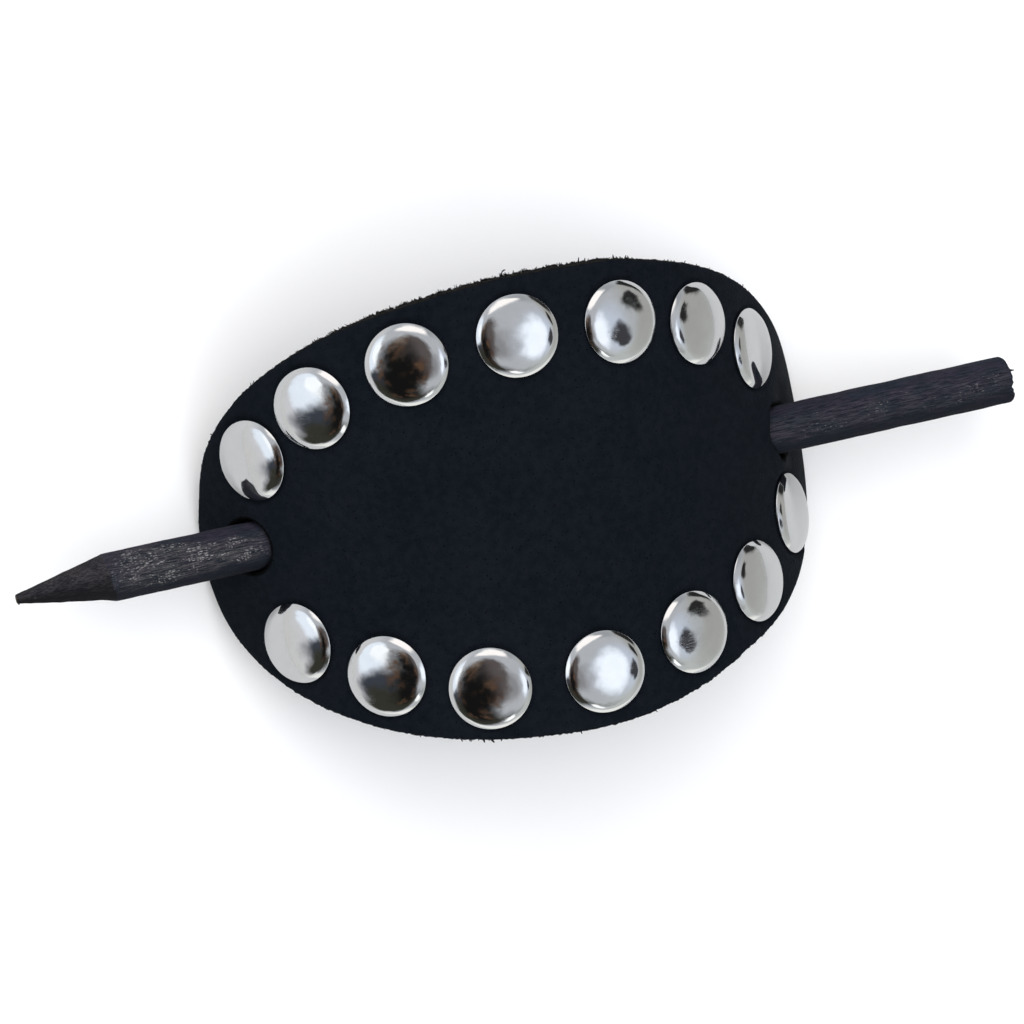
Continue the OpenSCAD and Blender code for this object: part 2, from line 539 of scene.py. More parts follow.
def new_group(name, inputs, outputs):
    """Starts a shader node group, with a vector input first. Returns its nodes, what goes in and what
    comes out."""
    tree = bpy.data.node_groups.new(name, "ShaderNodeTree")
    tree.interface.new_socket(name="Place", in_out="INPUT", socket_type="NodeSocketVector")
    for label, value in inputs.items():
        socket = tree.interface.new_socket(name=label, in_out="INPUT", socket_type="NodeSocketFloat")
        socket.default_value = value
    for label in outputs:
        tree.interface.new_socket(name=label, in_out="OUTPUT", socket_type="NodeSocketFloat")
    return Nodes(tree), tree.nodes.new("NodeGroupInput").outputs, tree.nodes.new("NodeGroupOutput").inputs


def make_clouds_group():
    """Soft clouds for dye, stain and dulled plate."""
    nodes, given, result = new_group("Clouds", {"Scale": 100, "Low": 0.35, "High": 0.65}, ["Mask"])
    cloud = nodes.noise(given["Place"], given["Scale"], 5, 0.55)
    nodes.put(result["Mask"], nodes.span(cloud, given["Low"], given["High"]))


def make_scuffs_group():
    """Thin crossed scratches, broken up so that few of them run far."""
    nodes, given, result = new_group("Scuffs", {"Scale": 200, "Width": 0.02}, ["Mask"])
    place, scale = given["Place"], given["Scale"]
    gaps = nodes.span(nodes.noise(place, scale, 3), 0.5, 0.62)
    masks = []
    for turn in (0.4, 1.7, 2.6):
        values = {"Vector": place, "Rotation": (turn, 0.6 * turn, turn), "Scale": (1, 9, 1)}
        turned = nodes.add("Mapping", values).outputs["Vector"]
        ridges = nodes.cells(turned, scale, feature="DISTANCE_TO_EDGE")
        masks.append(nodes.product(nodes.span(ridges, 0.0, given["Width"], 1.0, 0.0), gaps))
    most = nodes.math("MAXIMUM", nodes.math("MAXIMUM", masks[0], masks[1]), masks[2])
    nodes.put(result["Mask"], most)


def make_pores_group():
    """Fine pebbled grain with pores, as a height and as a mask of the pores."""
    nodes, given, result = new_group("Pores", {"Scale": 1300}, ["Height", "Pores"])
    place, scale = given["Place"], given["Scale"]
    bent = nodes.add("TexNoise", {"Vector": place, "Scale": nodes.product(scale, 0.4), "Detail": 2})
    moved = nodes.add("VectorMath", {0: bent.outputs["Color"], "Scale": 0.0009}, operation="SCALE").outputs[0]
    warped = nodes.add("VectorMath", {0: place, 1: moved}, operation="ADD").outputs[0]
    pebble = nodes.span(nodes.cells(warped, scale, feature="DISTANCE_TO_EDGE"), 0.0, 0.35)
    pore = nodes.span(nodes.cells(warped, nodes.product(scale, 0.8)), 0.06, 0.2, 1.0, 0.0)
    nodes.put(result["Height"], nodes.math("SUBTRACT", pebble, nodes.product(pore, 0.8)))
    nodes.put(result["Pores"], pore)


EFFECTS = {"Clouds": make_clouds_group, "Scuffs": make_scuffs_group, "Pores": make_pores_group}


class Paint(Nodes):
    """A material in the making: its nodes, its shader and the piece's own coordinates."""

    def __init__(self, name):
        for effect, maker in EFFECTS.items():
            if effect not in bpy.data.node_groups:
                maker()
        self.material = bpy.data.materials.new(name)
        self.material.use_nodes = True
        super().__init__(self.material.node_tree)
        self.shader = self.tree.nodes["Principled BSDF"]
        self.place = self.add("TexCoord").outputs["Object"]

    def cloud_mask(self, scale, low=0.35, high=0.65):
        return self.clouds(self.place, scale, low, high)

    def roughen(self, height, depth, strength=1.0):
        """Bumps the surface by height, which stands for depth in metres."""
        bump = self.add("Bump", {"Height": height, "Strength": strength, "Distance": depth})
        self.put(self.shader.inputs["Normal"], bump.outputs["Normal"])

    def finish(self, colour, values):
        """Puts the colour and the other values on the shader and returns the material."""
        for socket, value in {"Base Color": colour, **values}.items():
            self.put(self.shader.inputs[socket], value)
        return self.material


def grain_leather(settings):
    """Dyed outer face: nearly black blue, faintly clouded, with fine pores."""
    paint = Paint("grain_leather")
    clouds = paint.cloud_mask(130, 0.3, 0.7)
    pores = paint.group("Pores", paint.place, Scale=1700)
    dye = paint.math("ADD", paint.product(clouds, 0.45), paint.product(paint.cloud_mask(900), 0.55))
    dyed = paint.blend(dye, settings.grain_colour, settings.grain_tint)
    colour = paint.blend(pores["Pores"], dyed, (0.0015, 0.002, 0.004))
    paint.roughen(pores["Height"], 0.04 * MM, 0.8)
    roughness = paint.span(clouds, 0.0, 1.0, 0.58, 0.70)
    return paint.finish(colour, {"Roughness": roughness, "Specular IOR Level": 0.02})


def cut_leather(settings):
    """Raw cut edge: dull olive brown, built of short fibres."""
    paint = Paint("cut_leather")
    fibre = paint.noise(paint.stretched(paint.place, (1900, 1900, 5200)), 1, 6, 0.7)
    dark = paint.blend(paint.cloud_mask(420, 0.3, 0.7), (0.0025, 0.0028, 0.0035), settings.cut_colour)
    colour = paint.blend(paint.span(fibre, 0.5, 0.8), dark, (0.020, 0.018, 0.013))
    paint.roughen(fibre, 0.12 * MM, 0.8)
    return paint.finish(colour, {"Roughness": 0.95, "Specular IOR Level": 0.1})


def lip_leather():
    """Lips and insides of the stick's holes, painted near black as the shade that falls into the holes."""
    paint = Paint("lip_leather")
    clouds = paint.cloud_mask(900)
    colour = paint.blend(clouds, (0.0010, 0.0011, 0.0013), (0.0020, 0.0022, 0.0025))
    paint.roughen(clouds, 0.05 * MM, 0.6)
    return paint.finish(colour, {"Roughness": 0.85, "Specular IOR Level": 0.05})


def flesh_leather(settings):
    """Rough inner face: a nap of matted fibres, dyed through but paler than the outer face."""
    paint = Paint("flesh_leather")
    fibre = paint.noise(paint.place, 2600, 8, 0.75, 1.2)
    matted = paint.blend(paint.cloud_mask(160, 0.3, 0.7), (0.010, 0.011, 0.014), settings.flesh_colour)
    colour = paint.blend(paint.span(fibre, 0.5, 0.72), matted, (0.045, 0.045, 0.048))
    paint.roughen(fibre, 0.18 * MM, 0.9)
    return paint.finish(colour, {"Roughness": 1.0, "Specular IOR Level": 0.1, "Sheen Weight": 0.08})


# Where the stick changes, in metres along it: its point ends, its bare part runs, the leather begins
POINT_END = (-0.0580, -0.0520)
BARE_PART = (-0.0560, -0.0420)
LEATHER_START = (-0.0420, -0.0350)
# Two sizes of short pale fibres on the stick: how they are stretched and shifted
FLECK_SIZES = (((2700, 7400, 7400), 0.0), ((1500, 5400, 5400), 7.3))


def stained_wood(name, settings, stain, tint, worn, side_shade):
    """Black stain on open grain: dark streaks, clouds of a second colour and short pale fibres.
    worn is how much of the surface shows them, and the last argument from where to where, and how deep,
    the side of the lower row is darker: painted shade on the side turned away from the lamps. The dry
    streaks and pale fibres gather on the lit side as painted highlight, and fade near the leather as
    painted shade."""
    paint = Paint(name)
    place = paint.place
    streak = paint.noise(paint.stretched(place, (430, 6200, 6200)), 1, 6, 0.8)
    stained = paint.blend(paint.clouds(paint.stretched(place, (0.45, 1, 1)), 460, 0.40, 0.60), stain, tint)
    along = paint.add("SeparateXYZ", {0: place}).outputs["X"]
    facing = paint.add("SeparateXYZ", {0: paint.add("TexCoord").outputs["Normal"]}).outputs
    # Painted shade: the side that faces the lower row, away from the lamps, is darkened towards a quarter of
    # the stain's colour
    shaded_side = paint.span(facing["Y"], side_shade[0], side_shade[1], side_shade[2], 0.0)
    stained = paint.blend(shaded_side, stained, Vector(stain) * 0.25)
    grain = paint.blend(paint.span(streak, 0.38, 0.60), Vector(stain) * 0.45, stained)
    # Dry streaks and pale fibres show most between the point and the leather: partly wear, and partly
    # painted highlight on the lit side, which is the side of the upper row near the point and the top near
    # the leather. Close to the leather they fade away as painted shade by the hole.
    past_point = paint.span(along, *POINT_END, 0.35, 1.0)
    # Painted shade near the hole: fewer dry streaks and pale fibres where the leather begins
    shade_near_leather = paint.span(along, *LEATHER_START, 1.0, 0.34)
    sideways = paint.span(along, *BARE_PART, 0.45, 0.12)
    # Painted highlight: how far a place faces up, and near the point towards the upper row, where the lamps
    # stand
    facing_light = paint.math("ADD", facing["Z"], paint.product(facing["Y"], sideways))
    upper = paint.span(facing_light, paint.span(along, *BARE_PART, 0.25, 0.74), 1.0, 0.10, 1.0)
    rubbed_and_lit = paint.product(past_point, shade_near_leather, upper, worn)
    grain = paint.blend(paint.product(paint.span(streak, 0.42, 0.64), rubbed_and_lit), grain, settings.dry_colour)
    # Each cell holds one short fibre, and the more a place is worn and lit, the more of them are pale,
    # so the pale fibres are partly painted highlight
    patches = paint.clouds(paint.stretched(place, (0.35, 1, 1)), 520, 0.36, 0.60)
    share = paint.product(rubbed_and_lit, 0.85, patches)
    fleck = 0.0
    for scale, shift in FLECK_SIZES:
        values = {"Vector": place, "Scale": scale, "Location": (shift, shift, shift)}
        moved = paint.add("Mapping", values).outputs["Vector"]
        fibres = paint.add("TexVoronoi", {"Vector": moved, "Scale": 1}).outputs
        chance = paint.add("SeparateColor", {0: fibres["Color"]}).outputs["Red"]
        pale = paint.span(paint.math("ADD", chance, share), 0.98, 1.55)
        shape = paint.span(fibres["Distance"], 0.14, 0.50, 1.0, 0.0)
        fleck = paint.math("MAXIMUM", paint.product(shape, pale), fleck)
    paint.roughen(streak, 0.12 * MM, 0.9)
    colour = paint.blend(fleck, grain, settings.worn_colour)
    return paint.finish(colour, {"Roughness": 0.8, "Specular IOR Level": 0.05})


def bare_wood(settings):
    """End grain at the tip, where the stain has worn off."""
    paint = Paint("bare_wood")
    clouds = paint.cloud_mask(3200, 0.35, 0.6)
    paint.roughen(clouds, 0.05 * MM)
    return paint.finish(paint.blend(clouds, (0.018, 0.014, 0.007), settings.bare_colour), {"Roughness": 0.8})


def plate(name, shine, worn_shine, scuffs, clouds, dulling, roughness, depth, strength):
    """Nickel plate with scuffs and smears. shine and worn_shine are its two colours, and roughness says
    what it is where the plate is clean and what scuffs and smears add to it."""
    paint = Paint(name)
    scuffed = paint.group("Scuffs", paint.place, **scuffs)["Mask"]
    smears = paint.cloud_mask(*clouds)
    clean, by_scuffs, by_smears = roughness
    worn = paint.math("ADD", paint.product(scuffed, by_scuffs), paint.product(smears, by_smears))
    dull = paint.product(smears, dulling) if dulling < 1 else smears
    paint.roughen(scuffed, depth, strength)
    values = {"Metallic": 1.0, "Roughness": paint.math("ADD", worn, clean)}
    return paint.finish(paint.blend(dull, shine, worn_shine), values)


def bright_plate(settings):
    """Mirror-bright nickel with faint scuffs and smears."""
    return plate(
        "bright_plate", settings.plate_colour, (0.47, 0.475, 0.47), {"Scale": 420, "Width": 0.010},
        (520, 0.35, 0.7), 0.25, (0.035, 0.13, 0.04), -0.002 * MM, 0.4)


def dull_plate(settings):
    """Plain satin plate under the leather, scratched by wear."""
    return plate(
        "dull_plate", settings.back_colour, (0.34, 0.33, 0.31), {"Scale": 300, "Width": 0.03},
        (380, 0.3, 0.7), 1, (0.26, 0.2, 0.12), -0.006 * MM, 0.6)


def floor_paint(settings):
    """Pale matt floor with hardly any tone in it."""
    paint = Paint("floor_paint")
    seen = paint.blend(paint.cloud_mask(8, 0.2, 0.8), settings.floor_colour, (0.90, 0.90, 0.90))
    # The mirror plate shows the floor a little darker than the camera sees it
    mirrored = paint.add("LightPath").outputs["Is Glossy Ray"]
    colour = paint.blend(mirrored, seen, (0.74, 0.74, 0.74))
    # The floor shows from above only, so that it doesn't hide the piece from below
    above = paint.math("SUBTRACT", 1.0, paint.add("NewGeometry").outputs["Backfacing"])
    return paint.finish(colour, {"Alpha": above, "Roughness": 0.9, "Specular IOR Level": 0.1})


class LeatherBuilder:
    """Builds the leather's mesh: two faces, the cut edge, the stick's holes and the rivets' holes."""

    # The lip's finish paints the shade inside the stick's holes near black
    GRAIN, CUT, FLESH, LIP = range(4)
    EDGE_STEPS = 1700
    HOLE_STEPS = 110
    POST_STEPS = 20
    # The cut edge from the outer face to the inner one: how far in, in mm, and how deep, from 0 to 1
    EDGE_PROFILE = (
        (0.55, 0.0), (0.34, 0.008), (0.19, 0.03), (0.08, 0.07), (0.02, 0.14), (0.0, 0.24), (0.03, 0.36),
        (0.05, 0.50), (0.03, 0.64), (0.0, 0.77), (0.03, 0.87), (0.10, 0.94), (0.22, 0.98), (0.45, 1.0))
    # The row of that profile from which the edge is raw
    FIRST_CUT_ROW = 3
    # The lip of a stick hole: how far out, in mm, and how deep
    LIP_PROFILE = ((0.62, 0.0), (0.50, 0.006), (0.34, 0.025), (0.18, 0.06), (0.07, 0.11), (0.01, 0.18))
    TUNNEL_ROWS = 8
    # Rings of points round each rivet: shares of its seat, and shares of the shoulder outside the seat
    SEAT_RINGS = (0.36, 0.5, 0.68, 0.86)
    SHOULDER_RINGS = (-0.12, 0.0, 0.16, 0.34, 0.54, 0.76, 1.0)
    # How much wider the points of the inner face stand, and how clear of the stick's holes both stay
    INNER_SPREAD = 1.35
    HOLE_ROOM = 0.95 * MM

    def __init__(self, parts):
        self.bow = parts.bow
        self.rivets = parts.rivets
        self.holes = parts.holes
        self.grain = parts.grain
        self.flesh = parts.flesh
        self.step = parts.leather.mesh_step
        self.post_reach = parts.rivet_sizes.post_width / 2 + PLAY
        self.maker = MeshMaker()

    def fringe(self, place, depth):
        """How far the cut fibres stand out of the edge, which they do most near the inner face."""
        loose = 0.17 + 0.05 * smooth_step(depth, 0.1, 0.6)
        loose += 0.26 * smooth_step(depth, 0.3, 0.9) * smooth_step(place.y, -20 * MM, 20 * MM)
        spot = (place.x, place.y, depth * self.bow.outer * 0.06)
        fine = waver(spot, 0.36 * MM, 21) + 0.35 * waver(spot, 0.9 * MM, 23)
        return loose * MM * fine * smooth_step(depth, 0.02, 0.07) * (1 - smooth_step(depth, 0.97, 1.0))

    def spread_points(self, face):
        """Free points over a face: rings round each rivet, and rows of equal triangles."""
        bow = self.bow
        step = self.step if face is self.grain else self.INNER_SPREAD * self.step
        rings = [share * face.reach for share in self.SEAT_RINGS]
        rings += [face.reach + share * face.shoulder for share in self.SHOULDER_RINGS]
        places = []
        for rivet in self.rivets:
            for ring in rings:
                count = max(20, round(FULL_TURN * ring / (0.9 * step)))
                places += [(rivet.along + side, rivet.across + front) for side, front in circle(count, ring)]
        row_height = step * math.sqrt(3) / 2
        rows = math.ceil(bow.half_width / row_height)
        columns = math.ceil(bow.half_length / step)
        clear = face.reach + face.shoulder + 0.4 * step
        for row in range(-rows, rows + 1):
            across = row * row_height
            for column in range(-columns, columns + 1):
                along = (column + 0.5 * (row % 2)) * step
                if all(rivet.distance(along, across) >= clear for rivet in self.rivets):
                    places.append((along, across))
        edge_inset = 0.55 * MM + 0.6 * step
        return [Vector(place) for place in places if self.is_free(*place, edge_inset)]

    def is_free(self, along, across, inset):
        """Whether a place lies well inside the outline and clear of the stick's holes."""
        bow = self.bow
        inside = (along / (bow.half_length - inset)) ** 2 + (across / (bow.half_width - inset)) ** 2 < 1
        return inside and all(hole.distance(along, across) > self.HOLE_ROOM for hole in self.holes)

    def post_ring(self, rivet, seat):
        """The flat places of a post's hole in the seat at that radius."""
        ring = []
        for side, front in circle(self.POST_STEPS, self.post_reach):
            along = rivet.along + self.bow.outer * math.atan2(side, seat)
            ring.append(Vector((along, rivet.across + front)))
        return ring

    def lip_ring(self, hole, face, grow):
        return [hole.edge(k / self.HOLE_STEPS, face.radius, grow * MM) for k in range(self.HOLE_STEPS)]

    def add_face_sheet(self, face, finish):
        """Adds a face of the leather and returns the rings of its outline and of its holes."""
        holes = [self.lip_ring(hole, face, self.LIP_PROFILE[0][0]) for hole in self.holes]
        holes += [self.post_ring(rivet, face.seat) for rivet in self.rivets]
        inset, _ = self.EDGE_PROFILE[0 if face is self.grain else -1]
        outline = [self.bow.cut(k / self.EDGE_STEPS, inset * MM) for k in range(self.EDGE_STEPS)]
        places, triangles, rings = fill_sheet(outline, holes, self.spread_points(face))
        added = self.maker.add_points([self.bow.point(*place, face.radius_at(*place)) for place in places])
        for triangle in triangles:
            self.maker.add_face([added[k] for k in triangle], finish)
        return [[added[k] for k in ring] for ring in rings]

    def add_cut_edge(self, last, lower):
        """Adds the outer edge between the outlines of the two faces."""
        for row, (inset, depth) in enumerate(self.EDGE_PROFILE[1:-1], start=1):
            ring = []
            for k in range(self.EDGE_STEPS):
                turn = k / self.EDGE_STEPS
                place = self.bow.cut(turn, inset * MM - self.fringe(self.bow.cut(turn, 0), depth))
                radius = mix(self.grain.radius_at(*place), self.flesh.radius_at(*place), depth)
                ring.append(self.bow.point(*place, radius))
            last = self.maker.grow(last, ring, self.GRAIN if row < self.FIRST_CUT_ROW else self.CUT)
        self.maker.join_rings(last, lower, self.CUT)

    def lip_points(self, hole, face):
        """Rings that round the lip of a stick's hole into its tunnel, on one face."""
        rings = []
        for grow, depth in self.LIP_PROFILE[1:]:
            sunk = face.side * (depth * (self.bow.outer - self.bow.inner))
            places = self.lip_ring(hole, face, grow)
            rings.append([self.bow.point(*place, face.radius_at(*place) + sunk) for place in places])
        return rings

    def add_tunnel(self, hole, last, lower):
        """Adds the inside of a stick's hole, with rounded lips."""
        top, bottom = self.lip_points(hole, self.grain), self.lip_points(hole, self.flesh)
        # From the lip's second ring on, the lip and the tunnel take the near-black finish of painted shade
        for row, ring in enumerate(top):
            last = self.maker.grow(last, ring, self.GRAIN if row < 1 else self.LIP)
        for row in range(1, self.TUNNEL_ROWS):
            ring = []
            for start, end in zip(top[-1], bottom[-1]):
                point = start.lerp(end, row / self.TUNNEL_ROWS)
                outward = Vector((0, point.y, point.z - hole.height)).normalized()
                rough = 0.04 * MM * waver(point, 0.5 * MM, 31)
                ring.append(point + max(rough, -0.02 * MM) * outward)
            last = self.maker.grow(last, ring, self.LIP)
        for ring in reversed(bottom):
            last = self.maker.grow(last, ring, self.CUT)
        self.maker.join_rings(last, lower, self.CUT)

    def build(self, materials):
        upper = self.add_face_sheet(self.grain, self.GRAIN)
        lower = self.add_face_sheet(self.flesh, self.FLESH)
        self.add_cut_edge(upper[0], lower[0])
        for hole, top, bottom in zip(self.holes, upper[1:], lower[1:]):
            self.add_tunnel(hole, top, bottom)
        for top, bottom in list(zip(upper, lower))[1 + len(self.holes):]:
            self.maker.join_rings(top, bottom, self.CUT)
        return self.maker.make("leather_skin", materials)


def add_fibre(maker, points, thick, sides=4):
    """Adds a thin closed fibre along the points, thinnest at its free end."""
    rings = []
    for k, point in enumerate(points):
        ahead = points[min(k + 1, len(points) - 1)] - points[max(k - 1, 0)]
        first = ahead.orthogonal().normalized()
        second = ahead.cross(first).normalized()
        width = thick * (1 - 0.6 * k / (len(points) - 1)) / 2
        corners = [point + width * (side * first + front * second) for side, front in circle(sides, 1)]
        rings.append(maker.add_points(corners))
    for lower, upper in zip(rings, rings[1:]):
        maker.join_rings(lower, upper)
    for ring, point in ((rings[0], points[0]), (rings[-1], points[-1])):
        maker.close_ring(ring, maker.add_points([point])[0])


# How deep below the cut edge a fibre starts
FIBRE_ROOT = 0.25 * MM


def fibre_path(bow, turn, depth, length, lean, curl, lift, steps=7):
    """Points of a fibre that grows out of the cut edge. lean turns it along the edge and curl bends it."""
    place = bow.cut(turn, FIBRE_ROOT)
    out = (bow.oval(turn, 0) - bow.oval(turn, 1 * MM)).normalized()
    along = Vector((-out.y, out.x))
    radius = mix(bow.outer, bow.inner, depth)
    move = (length + FIBRE_ROOT) / steps
    points = []
    for k in range(steps):
        points.append(bow.point(*place, radius + lift * length * k / steps))
        place = place + move * (math.cos(lean) * out + math.sin(lean) * along)
        lean += curl / steps
    return points


# Loose fibres that show in the outline: where round the oval in degrees, length and thickness in mm,
# and how they lean and curl in radians
SHOWN_FIBRES = (
    (90.6, 1.35, 0.34, 0.5, -2.7), (87.0, 0.60, 0.24, 0.2, 0.6), (78.4, 0.95, 0.32, 0.9, -1.8),
    (77.9, 0.65, 0.26, -0.5, 0.5), (72.3, 0.85, 0.30, 0.9, -0.9), (70.9, 0.75, 0.28, -0.8, 0.8),
    (69.8, 0.70, 0.24, 0.1, 1.0), (81.5, 0.55, 0.24, 0.4, 0.3), (93.8, 0.50, 0.24, -0.2, 0.5),
    (96.5, 0.45, 0.20, 0.5, 0.3), (100.3, 0.62, 0.22, -0.4, 0.6), (103.0, 0.45, 0.20, 0.4, -0.5),
    (104.8, 0.45, 0.20, 0.2, 0.4), (116.9, 0.60, 0.18, 0.5, -0.6), (118.3, 0.42, 0.18, -0.3, 0.4),
    (251.0, 0.42, 0.32, 0.3, 0.4), (252.6, 0.40, 0.30, -0.4, 0.5), (254.2, 0.50, 0.44, 0.5, -0.5),
    (255.4, 0.62, 0.46, 0.3, 0.8), (257.0, 0.35, 0.32, -0.5, 0.4), (262.0, 0.25, 0.28, 0.5, 0.4),
    (268.0, 0.42, 0.30, 0.4, -0.4), (245.0, 0.25, 0.28, -0.3, 0.4), (239.0, 0.25, 0.26, 0.3, 0.2))


def make_fibres(bow, count):
    """Short fibres all round the cut edge, with the longer ones that show in the outline."""
    maker = MeshMaker()
    draw = random.Random(41)
    for number in range(count):
        # More than half of them grow on the upper edge, most of those near the inner face
        upper = number % 5 > 1
        turn = draw.gauss(0.25, 0.085) % 1.0 if upper else draw.random()
        depth = 0.6 + 0.36 * draw.random() ** 0.5 if upper else 0.1 + 0.85 * draw.random()
        length = (0.16 + 0.42 * draw.random() ** 3 + (0.12 if upper else 0.0)) * MM
        thick = (0.13 + 0.15 * draw.random()) * MM
        lean, curl, lift = draw.uniform(-1.1, 1.1), draw.uniform(-1.5, 1.5), draw.uniform(-0.3, 0.4)
        path = fibre_path(bow, turn, depth, length, lean, curl, lift, steps=5)
        if min(point.z for point in path) > 0.15 * MM:
            add_fibre(maker, path, thick)
    for degrees, length, thick, lean, curl in SHOWN_FIBRES:
        depth = 0.85 if degrees < 180 else 0.15
        path = fibre_path(bow, degrees / 360, depth, length * MM, lean, curl, 0.15)
        add_fibre(maker, path, thick * MM, sides=6)
    return maker


class StickShape:
    """The surface of the stick, as points round its middle line from the tip to the blunt end."""

    SIDES = 96
    WOOD, BARE, CUT = range(3)
    # The knife's flats on the point: how many, how uneven in width, and how flat
    FACETS = 7
    FACET_SLIP = 0.3
    FACET_SHARE = 0.75
    # How much longer the sharpened point is on the side of the lower row, and how far its tip lies to
    # that side
    POINT_SKEW = 0.4 * MM
    TIP_SHIFT = 0.15 * MM
    # The rings of the worn tip: their distance from its start, and their radius as a share of the tip's
    TIP_RINGS = ((0.0, 0.35), (0.01 * MM, 0.75), (0.06 * MM, 0.98))
    TIP_LENGTH = 0.3 * MM
    # How far the stained wood has swollen past its drilled size
    SWOLLEN = 0.04 * MM
    # Distance between the rings near the point and along the rest
    POINT_STEP = 0.35 * MM
    BODY_STEP = 0.6 * MM
    # The blunt end: its narrow worn edge, its wide worn corner on the side of the upper row, how much of it
    # is worn away, and its hollow
    EDGE_WEAR = 0.48 * MM
    CORNER_WEAR = 0.75 * MM
    END_WEAR = 0.37 * MM
    HOLLOW = 0.3 * MM
    # How many rings the worn edge has, and where the rings of the end face lie, as shares of its radius
    CORNER_STEPS = 10
    END_RINGS = (0.93, 0.82, 0.68, 0.52, 0.36, 0.2, 0.08)

    def __init__(self, settings):
        low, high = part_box("hair_stick")
        self.z = (low.z + high.z) / 2
        self.radius = (high.z - low.z) / 2 + self.SWOLLEN
        self.settings = settings
        self.start = low.x + settings.tip_wear
        self.end = high.x
        self.body_end = self.end - self.CORNER_WEAR - self.BODY_STEP

    def facet(self, turn):
        """How far a flat cut by the knife lies below the round cone, as a share of the radius."""
        width = 1.0 / self.FACETS
        shifted = turn + self.FACET_SLIP * width * math.sin(2 * FULL_TURN * turn)
        off = (shifted / width) % 1.0 - 0.5
        flat = math.cos(math.pi * width) / math.cos(math.pi * width * 2 * off)
        return mix(1.0, flat, self.FACET_SHARE)

    def groove(self, x, turn):
        """How deep the open grain is at a place."""
        side, front = around(turn)
        long_grain = waver((x / 9, side * 1.1 * MM, front * 1.1 * MM), 0.55 * MM, 51)
        fine_grain = waver((x / 4, side * 2.1 * MM, front * 2.1 * MM), 0.5 * MM, 53)
        return self.settings.groove_depth * max(1.4 * long_grain + 0.7 * fine_grain, 0.0)

    def reach(self, x, turn):
        """How far up the sharpened point x lies: 0 at the tip, and 1 where the point ends."""
        side, _ = around(turn)
        return (x - self.start) / (self.settings.point_length - self.POINT_SKEW * side)

    def width_at(self, x, turn):
        """Radius of the stick at x, with the cone of its point."""
        reach = self.reach(x, turn)
        groove = self.groove(x, turn)
        if reach >= 1:
            return self.radius - groove
        side, front = around(turn)
        cone = mix(self.settings.tip_width / 2, self.radius, reach)
        whittled = mix(cone * self.facet(turn), cone, smooth_step(reach, 0.85, 1.0))
        rough = 0.05 * MM * waver((x, side * cone, front * cone), 0.9 * MM, 57)
        return min(whittled + rough - groove * smooth_step(reach, 0.2, 0.7), self.radius - groove)

    def corner(self, turn):
        """How far the blunt end's edge is worn back at turn."""
        side, _ = around(turn)
        return mix(self.EDGE_WEAR, self.CORNER_WEAR, smooth_step(side, 0.35, 1.0))

    def end_depth(self, side, front):
        """How far the blunt end's face lies below the stick's full length."""
        middle = 1 - min(side * side + front * front, 1)
        broken = 0.36 * bell(side + 0.23, 0.11) - 0.10 * smooth_step(-side, 0.3, 0.6)
        rough = 0.20 * waver((side * self.radius, 0.35 * front * self.radius, 0), 0.42 * MM, 61)
        return max(self.END_WEAR + (broken + rough) * MM, 0.0) + self.HOLLOW * middle

    def point(self, x, turn, radius):
        side, front = around(turn)
        shift = self.TIP_SHIFT * (1 - smooth_step(self.reach(x, turn), 0.0, 1.0))
        return Vector((x, side * radius - shift, self.z + front * radius))

    def ring(self, place):
        """A ring of points. place is a function of the turn that gives x and the radius."""
        points = []
        for k in range(self.SIDES):
            x, radius = place(k / self.SIDES)
            points.append(self.point(x, k / self.SIDES, radius))
        return points

    def rings(self):
        """All the rings from the tip to the blunt end."""
        tip = self.settings.tip_width / 2
        made = []
        for step, share in self.TIP_RINGS:
            made.append(self.ring(lambda turn: (self.start + step, share * tip)))
        x = self.start + self.TIP_LENGTH
        while x < self.body_end:
            made.append(self.ring(lambda turn: (x, self.width_at(x, turn))))
            near_point = x < self.start + 1.3 * self.settings.point_length
            x += self.POINT_STEP if near_point else self.BODY_STEP
        for step in range(1, self.CORNER_STEPS + 1):
            made.append(self.ring(lambda turn: self.end_corner(turn, step / self.CORNER_STEPS)))
        for share in self.END_RINGS:
            made.append(self.ring(lambda turn: self.end_face(turn, share)))
        return made

    def end_corner(self, turn, share, side_share=0.2):
        """A point of the worn edge, from the stick's side at share 0 to its end face at share 1. Up to
        side_share it runs straight along the side."""
        side, front = around(turn)
        worn = self.corner(turn)
        width = self.width_at(self.body_end, turn)
        rim = 1 - worn / self.radius
        round_start = self.end - self.end_depth(side * rim, front * rim) - worn
        if share <= side_share:
            return mix(self.body_end, round_start, share / side_share), width
        climb = math.pi / 2 * (share - side_share) / (1 - side_share)
        return round_start + worn * math.sin(climb), width - worn * (1 - math.cos(climb))

    def end_face(self, turn, share):
        """A point of the end face, from its middle at share 0 to its rim at share 1."""
        side, front = around(turn)
        reach = share * (1 - self.corner(turn) / self.radius)
        return self.end - self.end_depth(side * reach, front * reach), reach * self.radius

    def build(self, materials):
        maker = MeshMaker()
        made = self.rings()
        bare = len(self.TIP_RINGS)
        added = [maker.add_points(ring) for ring in made]
        for row, (left, right) in enumerate(zip(added, added[1:])):
            for k in range(self.SIDES):
                after = (k + 1) % self.SIDES
                cut = self.reach(made[row][k].x, k / self.SIDES) < 0.98
                finish = self.BARE if row < bare - 1 else self.CUT if cut else self.WOOD
                maker.add_face((left[k], right[k], right[after], left[after]), finish)
        tip = maker.add_points([Vector((self.start, -self.TIP_SHIFT, self.z))])[0]
        end = maker.add_points([Vector((self.end - self.end_depth(0, 0), 0, self.z))])[0]
        maker.close_ring(added[0], tip, self.BARE)
        maker.close_ring(added[-1], end, self.WOOD)
        self.add_splinters(maker)
        return maker.make("stick_wood", materials)

